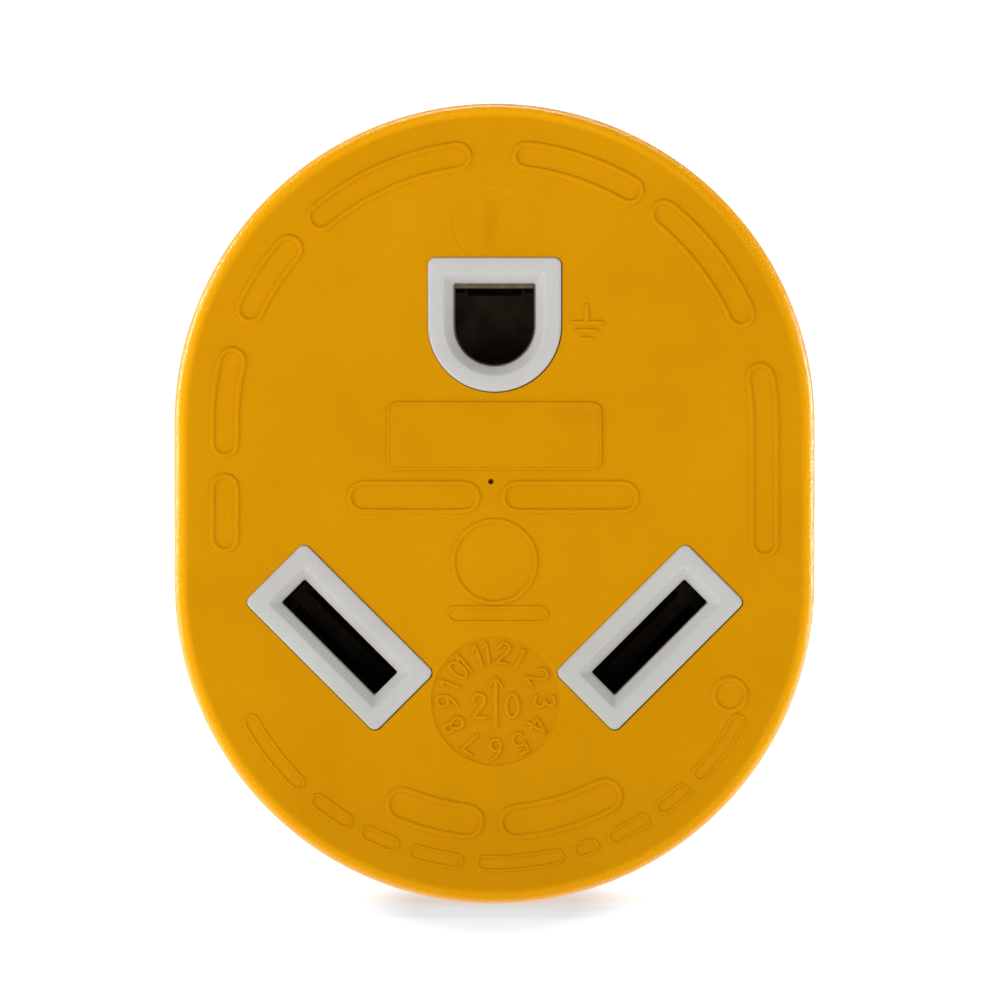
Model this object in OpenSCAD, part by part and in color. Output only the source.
// Socket head of a 30 A travel-trailer dogbone adapter.
// A moulded oval body carries three insulating shells that come flush with its face.
// Each shell holds a brass contact with spring leaves, crimped to one conductor.
// The mating face lies in the plane Y = 0 and looks along -Y, +Z is up and +Y runs to the cord.

/* [Moulded body] */
// Width of the body
body_w = 52; // [51:0.5:56]
// Straight length between the two end arcs of the oval
oval_straight = 13; // [12:0.5:16]
// Length from the mating face to the end of the cord collar
body_len = 76; // [75:0.5:82]
// Radius of the rounded edge round the face
edge_round = 1.1; // [0.8:0.1:1.6]
// Diameter of the grip at its waist
waist_d = 31; // [30:0.5:34]
// Diameter of the neck behind the grip
neck_d = 26.4; // [26:0.2:28]
// Diameter of the collar round the cord inlet
collar_d = 28.4; // [28:0.2:30]
// Depth of the finger grooves
groove_depth = 1; // [0.6:0.1:1.2]

/* [Cord inlet] */
// Diameter of the cord that the inlet takes
inlet_d = 17; // [15:0.5:17.5]
// Depth of the inlet from the collar's end
inlet_depth = 22; // [18:0.5:22]

/* [Socket layout] */
// Distance of each blade slot's centre from the centre plane
slot_x = 12.6; // [12.4:0.1:13]
// Height of the blade slots' centres, below the face's centre
slot_z = -10.85; // [-11.2:0.05:-10.6]
// Height of the ground socket's arc centre above the face's centre
ground_z = 14.5; // [14.2:0.1:14.8]
// Length of a blade slot
slot_l = 10.7; // [10.3:0.05:10.8]
// Width of a blade slot
slot_w = 2.7; // [2.5:0.05:3]
// Width of the ground socket, which is also twice its arc radius
ground_w = 6.66; // [6.6:0.02:6.8]

/* [Contacts] */
// Thickness of the brass strip in the power contacts
leaf_t = 0.8; // [0.7:0.05:0.8]
// Width of a power contact's leaf
leaf_w = 8.8; // [8:0.1:9]
// Gap between the two leaves where they grip the blade
grip_gap = 1.2; // [1:0.1:1.6]
// Thickness of the steel backing springs
backing_t = 0.5; // [0.3:0.05:0.5]
// Thickness of the ground contact's sleeve and tongue
sleeve_t = 0.6; // [0.5:0.05:0.6]

/* [Conductors] */
// Outer diameter of an insulated conductor
core_d = 4.6; // [4.2:0.1:4.6]
// Diameter of the bare copper strands
strand_d = 3; // [2.6:0.1:3]

/* [Hidden] */
$fn = 64;
eps = 0.01;
fit_gap = 0.03;

yellow = "#e09a08";
ivory = "#dcdcdc";
brass = "#b8964e";
steel = "#9aa0a6";
copper = "#b8693a";
sleeve_grey = "#3a3a3a";
wire_black = "#26231f";
wire_white = "#e6e4df";
wire_green = "#2f7d3c";

// Head: a true oval with a rounded edge, as deep as head_y.
crown_r = body_w / 2;
straight_half = oval_straight / 2;
head_y = 17;

// Grip: a smooth skin from the head's oval to the round neck.
// Each key is [depth, arc radius, slope of the radius].
grip_start_y = head_y - 1;
shoulder_y = 22;
waist_y = 49;
neck_y = 62;
round_y = 56;
seam_step = 0.04;
grip_keys = [
    [grip_start_y, crown_r - seam_step, 0],
    [shoulder_y, crown_r - 1.1, -0.38],
    [waist_y, waist_d / 2, -0.12],
    [neck_y, neck_d / 2, -0.04],
    [body_len, neck_d / 2, 0]
];
ring_points = 48;
groove_first_y = 32;
groove_pitch = 5.2;
groove_w = 3.4;
groove_count = 5;

// Collar: a true round bead at the cord's end.
collar_y = 65;
collar_round = 1.4;
inlet_floor_y = body_len - inlet_depth;

// Shells: a neck that shows at the face, and a wider body behind it that anchors the shell.
shell_step_y = 3.5;
shell_y = 24;
funnel_y = 0.9;
funnel_in = 0.78;
power_neck = [15, 6.9];
power_body = [15, 9.8];
power_pocket = [11, 7.4];
pocket_y = 5;
shell_corner_r = 0.6;
ground_r = ground_w / 2;
ground_top = 3.4;
ground_rim = 2.1;
ground_body_w = 12.4;
ground_body_low = -5.9;
ground_body_h = 12.2;

// Ground sleeve: it sits a little inside the socket's outline, so that its edge shows.
sleeve_y = 1.95;
sleeve_end_y = 20;
sleeve_r = ground_r - 0.13;
sleeve_top = ground_top - 0.38;
pocket_gap = 0.15;
tongue_w = 4.4;
window_w = 5;
window_y = 5.5;
window_end_y = 17.95;
relief_top = 4.95;
tongue_root_y = 17.5;
tongue_root_z = sleeve_top + sleeve_t / 2;
tongue_backing_t = 0.3;

// Power contacts: the leaves turn at leaf_root_y, where the strip bends.
leaf_root_y = 19;
leaf_root_v = 1.9;
cheek_gap = 0.05;
web_y = 23;
web_size = [10.6, 7];
tail_w = 4;
backing_gap = 0.02;
backing_inset = 1.2;

// Crimps: a barrel on each contact, closed over the strands, under a sleeve.
barrel_y = 25;
barrel_end_y = 34.5;
barrel_r = 2.2;
strand_start_y = 26;
crimp_sleeve_y = 28;
crimp_sleeve_r = 2.7;
bridge_end_y = 27;
bridge_arm = 7;

// Conductors: they leave the crimps and draw together at the inlet's floor.
insulation_y = 35;
bend_start_y = 37.5;
bend_end_y = 49;
core_bend_r = 5;
core_sides = 16;
knee_steps = 4;
bundle_r = 2.75;
hot_place = [-slot_x, slot_z];
neutral_place = [slot_x, slot_z];
ground_place = [0, ground_z];
hot_angle = 210;
neutral_angle = 330;
ground_angle = 90;

// Small blind mark of the mould's locating pin.
pin_mark = [-0.3, 1.8];
pin_mark_r = 0.2;
pin_mark_depth = 1.2;

// ---------- curves ----------

// Value at y of the cubic curve through keys [y, value, slope].
function steered(keys, y, i = 0) =
    (i < len(keys) - 2 && y > keys[i + 1][0]) ? steered(keys, y, i + 1) :
    let (h = keys[i + 1][0] - keys[i][0], t = (y - keys[i][0]) / h)
    (2 * pow(t, 3) - 3 * pow(t, 2) + 1) * keys[i][1]
    + (pow(t, 3) - 2 * pow(t, 2) + t) * h * keys[i][2]
    + (3 * pow(t, 2) - 2 * pow(t, 3)) * keys[i + 1][1]
    + (pow(t, 3) - pow(t, 2)) * h * keys[i + 1][2];

// Half length of the oval's straight at y: whole at the head, none where the grip is round.
function straight_at(y) =
    let (t = min(1, max(0, (y - head_y) / (round_y - head_y))))
    straight_half * (1 - t * t * (3 - 2 * t));

// Depth of the finger grooves at y, from 0 to 1, as a row of rounded valleys.
function groove_at(y) = max([for (i = [0 : groove_count - 1])
    let (d = abs(y - groove_first_y - i * groove_pitch) / (groove_w / 2))
    d < 1 ? pow(cos(90 * d), 2) : 0]);

// How much of a groove reaches the angle a round the body: all of it at the sides.
function groove_reach(a) =
    let (side = max(0, (abs(cos(a)) - 0.35) / 0.65))
    pow(sin(90 * side), 0.7);

// One closed section of the grip at depth y.
function grip_ring(y) =
    let (r = steered(grip_keys, y), s = straight_at(y), g = groove_depth * groove_at(y))
    [for (i = [0 : ring_points - 1])
        let (a = 360 * (i + 0.5) / ring_points, cut = r - g * groove_reach(a))
        [cut * cos(a), y, cut * sin(a) + (sin(a) > 0 ? s : -s)]];

// Depths of the sections: close together where the form turns quickly.
grip_depths = concat(
    [grip_start_y, 17.5, 19, 20.5, shoulder_y, 24, 26, 28],
    [for (i = [0 : groove_count - 1], d = [-0.5, -0.25, 0, 0.25, 0.5])
        groove_first_y + i * groove_pitch + d * groove_w],
    [57, 59.5, neck_y, collar_y + 2]);

// Outline of a flat strip of thickness t that follows the points of line.
function strip_outline(line, t) =
    let (n = len(line) - 1,
        dir = [for (i = [0 : n]) let (d = line[min(i + 1, n)] - line[max(i - 1, 0)]) d / norm(d)],
        side = [for (d = dir) [-d[1], d[0]] * t / 2])
    concat([for (i = [0 : n]) line[i] + side[i]], [for (i = [n : -1 : 0]) line[i] - side[i]]);

// Points of line that lie between two depths, with the first one pulled to the deeper limit.
function stretch(line, y0, y1, lift) =
    [for (p = line) if (p[0] > y0) [min(p[0], y1), p[1] + lift]];

// ---------- shared shapes ----------

// Stack of closed sections, each with the same number of points, with flat ends.
module skin(rings) {
    n = len(rings[0]);
    m = len(rings);
    points = [for (ring = rings) each ring];
    sides = [for (j = [0 : m - 2], i = [0 : n - 1])
        let (a = j * n + i, b = j * n + (i + 1) % n, c = b + n, d = a + n)
        each [[a, b, c], [a, c, d]]];
    first = [for (i = [n - 1 : -1 : 0]) i];
    last = [for (i = [0 : n - 1]) (m - 1) * n + i];
    polyhedron(points, concat(sides, [first], [last]));
}

// Half profile with its outer corners rounded: radius in X, depth in Y.
module rounded_profile(r, y0, y1, round_front, round_back) {
    translate([0, y0]) square([r - max(round_front, round_back), y1 - y0]);
    translate([0, y0 + round_front]) square([r, y1 - y0 - round_front - round_back]);
    if (round_front > 0) translate([r - round_front, y0 + round_front]) circle(round_front);
    if (round_back > 0) translate([r - round_back, y1 - round_back]) circle(round_back);
}

// Turns a half profile about the depth axis.
module turned() {
    rotate([-90, 0, 0]) rotate_extrude() children();
}

// Sweeps a half profile round the oval: two turned ends and a straight between them.
module oval_swept() {
    for (end = [-1, 1]) translate([0, 0, end * straight_half]) turned() children();
    translate([0, 0, -straight_half]) linear_extrude(oval_straight) {
        children();
        mirror([1, 0]) children();
    }
}

// Extrudes a flat outline, drawn in X and Z, from depth y0 to y1.
module along_y(y0, y1) {
    translate([0, y1, 0]) rotate([90, 0, 0]) linear_extrude(y1 - y0) children();
}

// Round hole or boss of radius r from depth y0 to y1, at place [x, z].
module round_at(place, y0, y1, r) {
    translate([place[0], y1, place[1]]) rotate([90, 0, 0]) cylinder(h = y1 - y0, r = r);
}

// Extrudes an outline drawn in depth and height, across the width w in X.
module across_x(w) {
    translate([-w / 2, 0, 0]) rotate([90, 0, 90]) linear_extrude(w) children();
}

module centred_square(size) {
    translate(-size / 2) square(size);
}

module round_square(size, r) {
    centred_square([size[0] - 2 * r, size[1]]);
    centred_square([size[0], size[1] - 2 * r]);
    for (x = [-1, 1], z = [-1, 1]) translate([x * (size[0] / 2 - r), z * (size[1] / 2 - r)]) circle(r);
}

// Half-round foot and square top, as the ground socket has.
module d_outline(r, top) {
    difference() {
        union() {
            circle(r);
            translate([-r, 0]) square([2 * r, top]);
        }
        translate([-r, top]) square([2 * r, r]);
    }
}

module at_hot() {
    translate([-slot_x, 0, slot_z]) rotate([0, 45, 0]) children();
}

module at_neutral() {
    translate([slot_x, 0, slot_z]) rotate([0, -45, 0]) children();
}

module at_ground() {
    translate([0, 0, ground_z]) children();
}

// ---------- moulded body ----------

module body_form() {
    oval_swept() rounded_profile(crown_r, 0, head_y, edge_round, 0);
    skin([for (y = grip_depths) grip_ring(y)]);
    turned() rounded_profile(collar_d / 2, collar_y, body_len, collar_round, collar_round);
}

// Space that one crimp and its conductor take inside the body.
module core_cut(place, a) {
    round_at(place, bridge_end_y - 1, insulation_y, crimp_sleeve_r + fit_gap);
    core_run(place, a, core_d / 2 + fit_gap, insulation_y - 1, inlet_floor_y + 1);
}

module overmold_body() {
    color(yellow) difference() {
        body_form();
        at_hot() power_shell_form(fit_gap);
        at_neutral() power_shell_form(fit_gap);
        at_ground() ground_shell_form(fit_gap);
        bridge_form(fit_gap);
        core_cut(hot_place, hot_angle);
        core_cut(neutral_place, neutral_angle);
        core_cut(ground_place, ground_angle);
        round_at([0, 0], inlet_floor_y, body_len + 1, inlet_d / 2);
        round_at(pin_mark, -1, pin_mark_depth, pin_mark_r);
    }
}

// ---------- insulating shells ----------

module power_shell_form(gap) {
    grow = [2 * gap, 2 * gap];
    along_y(-gap, shell_step_y) round_square(power_neck + grow, shell_corner_r);
    along_y(shell_step_y - gap, shell_y + gap) centred_square(power_body + grow);
}

// Square-mouthed funnel that leads a blade into its slot.
module power_funnel() {
    corners = [[-1, -1], [1, -1], [1, 1], [-1, 1]];
    skin([
        [for (c = corners) [c[0] * (slot_l / 2 + funnel_in), -eps, c[1] * (slot_w / 2 + funnel_in)]],
        [for (c = corners) [c[0] * slot_l / 2, funnel_y, c[1] * slot_w / 2]]]);
}

module power_shell() {
    color(ivory) difference() {
        power_shell_form(0);
        power_funnel();
        along_y(-1, pocket_y + 1) centred_square([slot_l, slot_w]);
        along_y(pocket_y, shell_y + 1) centred_square(power_pocket);
    }
}

module ground_body_outline(gap) {
    translate([-ground_body_w / 2 - gap, ground_body_low - gap])
        square([ground_body_w + 2 * gap, ground_body_h + 2 * gap]);
}

module ground_shell_form(gap) {
    along_y(-gap, shell_step_y) ground_neck_outline(gap);
    along_y(shell_step_y - gap, shell_y + gap) ground_body_outline(gap);
}

module ground_neck_outline(gap) {
    r = ground_r + ground_rim + gap;
    top = ground_top + ground_rim + gap;
    circle(r);
    translate([-r, 0]) square([2 * r, top - shell_corner_r]);
    translate([-r + shell_corner_r, 0]) square([2 * (r - shell_corner_r), top]);
    for (x = [-1, 1]) translate([x * (r - shell_corner_r), top - shell_corner_r]) circle(shell_corner_r);
}

// Funnel that leads the ground pin into its socket: a cone below and a square mouth above.
module ground_funnel() {
    function mouth(r, top, y) = [[-r, y, 0], [r, y, 0], [r, y, top], [-r, y, top]];
    rotate([-90, 0, 0]) cylinder(h = funnel_y, r1 = ground_r + funnel_in, r2 = ground_r);
    skin([mouth(ground_r + funnel_in, ground_top + funnel_in, 0), mouth(ground_r, ground_top, funnel_y)]);
}

module ground_shell() {
    wall = sleeve_t + pocket_gap;
    color(ivory) difference() {
        ground_shell_form(0);
        ground_funnel();
        along_y(-1, sleeve_y) d_outline(ground_r, ground_top);
        along_y(sleeve_y - eps, shell_y + 1) d_outline(sleeve_r + wall, sleeve_top + wall);
        translate([-window_w / 2, window_y - 0.5, 0])
            cube([window_w, window_end_y - window_y + 1, relief_top]);
    }
}

// ---------- rear bridge ----------

// T-shaped plate that closes the three shells and keeps their spacing.
module bridge_form(gap) {
    y0 = shell_y - gap;
    y1 = bridge_end_y + gap;
    pad = power_body + [2 * gap, 2 * gap];
    at_hot() along_y(y0, y1) centred_square(pad);
    at_neutral() along_y(y0, y1) centred_square(pad);
    at_ground() along_y(y0, y1) ground_body_outline(gap);
    along_y(y0, y1) {
        translate([-bridge_arm / 2 - gap, slot_z]) square([bridge_arm + 2 * gap, ground_z - slot_z]);
        translate([-slot_x, slot_z - bridge_arm / 2 - gap]) square([2 * slot_x, bridge_arm + 2 * gap]);
    }
}

module rear_bridge() {
    color(ivory) difference() {
        bridge_form(0);
        for (place = [hot_place, neutral_place, ground_place])
            round_at(place, shell_y - 1, bridge_end_y + 1, barrel_r + fit_gap);
    }
}

// ---------- contacts ----------

// Crimp barrel with its tail, which starts at depth y0 in strip of thickness t.
module crimp_tail(y0, t) {
    difference() {
        union() {
            translate([-tail_w / 2, y0, -t / 2]) cube([tail_w, barrel_y - y0 + 1, t]);
            round_at([0, 0], barrel_y, barrel_end_y, barrel_r);
        }
        round_at([0, 0], strand_start_y, barrel_end_y + 1, strand_d / 2 + fit_gap);
    }
}

// Two cheeks that carry the leaves, the web that joins them, and the crimp.
module power_contact() {
    cheek_y = leaf_root_y + leaf_t / 2 + cheek_gap;
    color(brass) {
        for (side = [-1, 1])
            translate([-leaf_w / 2, cheek_y, side * leaf_root_v - leaf_t / 2])
                cube([leaf_w, web_y - cheek_y + eps, leaf_t]);
        along_y(web_y, web_y + leaf_t) centred_square(web_size);
        crimp_tail(web_y, leaf_t);
    }
}

// Centreline of the leaf on the +Z side, from its root to its flared lip.
function leaf_line() = let (grip_v = (grip_gap + leaf_t) / 2) [
    [leaf_root_y, leaf_root_v],
    [13, grip_v + 0.42],
    [11, grip_v + 0.12],
    [9.6, grip_v],
    [8.4, grip_v + 0.22],
    [6.3, grip_v + 1.15]];

// Spring leaf with a round root.
module leaf(line, w, t) {
    across_x(w) polygon(strip_outline(line, t));
    translate([-w / 2, line[0][0], line[0][1]]) rotate([0, 90, 0]) cylinder(h = w, r = t / 2);
}

module power_leaf() {
    color(brass) leaf(leaf_line(), leaf_w, leaf_t);
}

// Steel strip that lies on the leaf's back and presses it shut.
module leaf_backing() {
    lift = (leaf_t + backing_t) / 2 + backing_gap;
    color(steel) across_x(leaf_w - 2 * backing_inset)
        polygon(strip_outline(stretch(leaf_line(), 9, 18, lift), backing_t));
}

// Sleeve round the ground pin, open in front, with a window for the tongue.
module ground_contact() {
    color(brass) {
        difference() {
            along_y(sleeve_y, sleeve_end_y + sleeve_t) d_outline(sleeve_r + sleeve_t, sleeve_top + sleeve_t);
            along_y(sleeve_y - 1, sleeve_end_y) d_outline(sleeve_r, sleeve_top);
            translate([-window_w / 2, window_y, sleeve_top - 0.5])
                cube([window_w, window_end_y - window_y, 2]);
        }
        crimp_tail(sleeve_end_y + sleeve_t / 2, sleeve_t);
    }
}

// Centreline of the tongue, from its root to its turned-up lip.
function tongue_line() = [
    [tongue_root_y, tongue_root_z],
    [12, tongue_root_z - 0.25],
    [10, tongue_root_z - 0.4],
    [8.7, tongue_root_z - 0.45],
    [7.6, tongue_root_z - 0.3],
    [6.2, tongue_root_z + 0.2]];

module ground_tongue() {
    color(brass) leaf(tongue_line(), tongue_w, sleeve_t);
}

module ground_backing() {
    lift = (sleeve_t + tongue_backing_t) / 2 + backing_gap;
    color(steel) across_x(tongue_w - 2 * backing_inset)
        polygon(strip_outline(stretch(tongue_line(), 8, 16.5, lift), tongue_backing_t));
}

// ---------- conductors ----------

// Centreline of a conductor, as [depth, distance aside, direction]: straight back from its crimp,
// over by the distance aside in an S-bend, and on to depth y1.
function core_path(aside, y0, y1) =
    let (run = bend_end_y - bend_start_y, slant = atan2(aside, run),
        tangent = core_bend_r * tan(slant / 2),
        turn = [for (i = [0 : knee_steps]) slant * i / knee_steps])
    concat([[y0, 0, 0]],
        [for (t = turn)
            [bend_start_y - tangent + core_bend_r * sin(t), core_bend_r * (1 - cos(t)), t]],
        [for (i = [knee_steps : -1 : 0]) let (t = turn[i])
            [bend_end_y + tangent - core_bend_r * sin(t), aside - core_bend_r * (1 - cos(t)), t]],
        [[y1, aside, 0]]);

// Core of radius r that starts at place [x, z] and ends at the angle a in the bundle.
module core_run(place, a, r, y0, y1) {
    goal = bundle_r * [cos(a), sin(a)];
    aside = norm(goal - place);
    ahead = [(goal - place)[0], 0, (goal - place)[1]] / aside;
    across = [-ahead[2], 0, ahead[0]];
    skin([for (p = core_path(aside, y0, y1))
        let (centre = [place[0], p[0], place[1]] + p[1] * ahead,
            normal = cos(p[2]) * ahead - sin(p[2]) * [0, 1, 0])
        [for (i = [0 : core_sides - 1]) let (b = 360 * i / core_sides)
            centre + r * (cos(b) * normal + sin(b) * across)]]);
}

module insulation(place, a, tint) {
    color(tint) difference() {
        core_run(place, a, core_d / 2, insulation_y, inlet_floor_y);
        core_run(place, a, strand_d / 2 + fit_gap, insulation_y - 1, inlet_floor_y + 1);
    }
}

module strands(place, a) {
    color(copper) core_run(place, a, strand_d / 2, strand_start_y + fit_gap, inlet_floor_y);
}

// Insulating sleeve shrunk over the crimp.
module crimp_sleeve(place) {
    color(sleeve_grey) difference() {
        round_at(place, crimp_sleeve_y, barrel_end_y, crimp_sleeve_r);
        round_at(place, crimp_sleeve_y - 1, barrel_end_y + 1, barrel_r + fit_gap);
    }
}

// ---------- nodes ----------

overmold_body();
at_hot() power_shell();  // hot_shell
at_neutral() power_shell();  // neutral_shell
at_ground() ground_shell();
rear_bridge();
at_hot() power_contact();  // hot_contact
at_hot() power_leaf();  // hot_inner_leaf
at_hot() mirror([0, 0, 1]) power_leaf();  // hot_outer_leaf
at_hot() leaf_backing();  // hot_inner_backing
at_hot() mirror([0, 0, 1]) leaf_backing();  // hot_outer_backing
at_neutral() power_contact();  // neutral_contact
at_neutral() power_leaf();  // neutral_inner_leaf
at_neutral() mirror([0, 0, 1]) power_leaf();  // neutral_outer_leaf
at_neutral() leaf_backing();  // neutral_inner_backing
at_neutral() mirror([0, 0, 1]) leaf_backing();  // neutral_outer_backing
at_ground() ground_contact();
at_ground() ground_tongue();
at_ground() ground_backing();
crimp_sleeve(hot_place);  // hot_crimp_sleeve
crimp_sleeve(neutral_place);  // neutral_crimp_sleeve
crimp_sleeve(ground_place);  // ground_crimp_sleeve
insulation(hot_place, hot_angle, wire_black);  // hot_insulation
insulation(neutral_place, neutral_angle, wire_white);  // neutral_insulation
insulation(ground_place, ground_angle, wire_green);  // ground_insulation
strands(hot_place, hot_angle);  // hot_strands
strands(neutral_place, neutral_angle);  // neutral_strands
strands(ground_place, ground_angle);  // ground_strands
